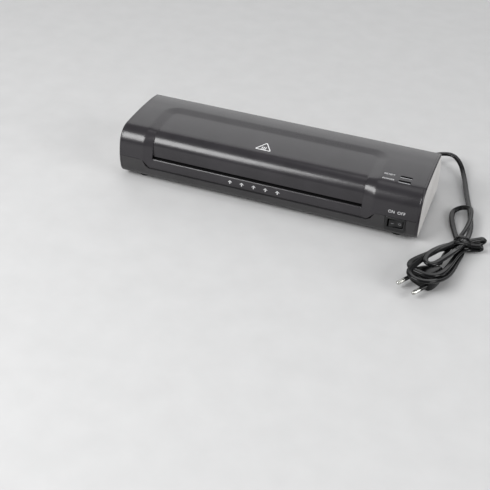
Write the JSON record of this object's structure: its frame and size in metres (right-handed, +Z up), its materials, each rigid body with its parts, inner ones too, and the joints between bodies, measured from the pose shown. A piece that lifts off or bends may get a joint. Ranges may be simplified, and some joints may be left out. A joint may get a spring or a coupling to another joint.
{
  "type": "pouch laminator",
  "caption": "Desktop A4 pouch laminator with hot rollers, gear motor drive, rocker power switch, indicator lenses and a tied two-pin mains lead.",
  "frame": {"origin": "middle of the footprint at the surface that the feet stand on, without the cord", "axes": "+X along the machine to the switch end, +Y to the rear, +Z up"},
  "size_m": [0.395, 0.2672, 0.0584],
  "materials": {
    "cover_plastic": "fine satin moulded plastic",
    "base_plastic": "fine satin moulded plastic",
    "cap_plastic": "light grey plastic with a fine texture",
    "rubber": "soft matt rubber",
    "zinc_screw": "zinc plated",
    "switch_plastic": "black polyamide",
    "lens": "smoked clear plastic",
    "board": "green solder mask",
    "led": "tinted epoxy",
    "sheet_steel": "galvanised sheet",
    "bush_plastic": "natural acetal",
    "spring_steel": "oiled spring steel",
    "silicone": "red silicone, satin",
    "shaft_steel": "ground steel",
    "aluminium": "rolled sheet",
    "heater_foil": "amber polyimide",
    "guide_plastic": "black heat resistant plastic",
    "gear_plastic": "natural acetal",
    "brass": "nickel plated brass",
    "cord_plastic": "black PVC, satin"
  },
  "bodies": {
    "housing": {"top_cover": "cover_plastic", "base_shell": "base_plastic", "left_end_cap": "cap_plastic", "right_end_cap": "cap_plastic", "rubber_feet": "rubber", "case_screws": "zinc_screw", "switch_body": "switch_plastic", "switch_terminals": "brass", "power_lens": "lens", "ready_lens": "lens", "led_board": "board", "leds": "led", "left_side_plate": "sheet_steel", "right_side_plate": "sheet_steel", "tie_rods": "sheet_steel", "frame_screws": "zinc_screw", "lower_bushes": "bush_plastic", "spring_bridges": "sheet_steel", "nip_springs": "spring_steel", "lower_heat_shell": "aluminium", "upper_heat_shell": "aluminium", "lower_heater_pad": "heater_foil", "upper_heater_pad": "heater_foil", "upper_entry_guide": "guide_plastic", "lower_entry_guide": "guide_plastic", "upper_exit_guide": "guide_plastic", "lower_exit_guide": "guide_plastic", "motor_bracket": "sheet_steel", "motor_spacers": "sheet_steel", "motor_gearbox": "sheet_steel", "motor_can": "sheet_steel", "motor_screws": "zinc_screw", "thermostat": "heater_foil", "thermal_fuse": "heater_foil", "terminal_block": "guide_plastic", "inner_wires": "cord_plastic", "strain_relief": "rubber", "cord_lead": "cord_plastic", "cord_loop": "cord_plastic", "cord_hank": "cord_plastic", "cord_folds": "cord_plastic", "cord_tie": "cord_plastic", "plug_body": "cord_plastic", "plug_pins": "brass"},
    "rocker": {"switch_rocker": "switch_plastic"},
    "lower_roller": {"lower_roller_sleeve": "silicone", "lower_roller_shaft": "shaft_steel", "lower_retaining_ring": "spring_steel", "lower_roller_gear": "gear_plastic"},
    "roller_carriage": {"bearing_blocks": "bush_plastic"},
    "upper_roller": {"upper_roller_sleeve": "silicone", "upper_roller_shaft": "shaft_steel", "upper_retaining_ring": "spring_steel", "upper_roller_gear": "gear_plastic"},
    "motor_rotor": {"motor_pinion": "gear_plastic", "motor_shaft": "shaft_steel"}
  },
  "joints": [
    {"name": "rocker_tilt", "type": "hinge", "parent": "housing", "child": "rocker", "pos_m": [0.1396, -0.0505, 0.0201], "axis": [0, 0, -1], "range_deg": [0, 16]},
    {"name": "lower_roller_spin", "type": "hinge", "parent": "housing", "child": "lower_roller", "pos_m": [0, 0.0015, 0.0235], "axis": [1, 0, 0], "continuous": true},
    {"name": "carriage_lift", "type": "slide", "parent": "housing", "child": "roller_carriage", "axis": [0, 0, 1], "range_m": [0, 0.0012], "stiffness_N_per_m": 4000, "springref_m": -0.002, "deforming": ["nip_springs"]},
    {"name": "upper_roller_spin", "type": "hinge", "parent": "roller_carriage", "child": "upper_roller", "pos_m": [0, 0.0015, 0.0405], "axis": [1, 0, 0], "continuous": true},
    {"name": "motor_spin", "type": "hinge", "parent": "housing", "child": "motor_rotor", "pos_m": [0.117, 0.017, 0.0235], "axis": [1, 0, 0], "continuous": true}
  ],
  "couplings": [
    {"joint": "upper_roller_spin", "follows": "lower_roller_spin", "ratio": -1},
    {"joint": "motor_spin", "follows": "lower_roller_spin", "ratio": -1.2143}
  ]
}
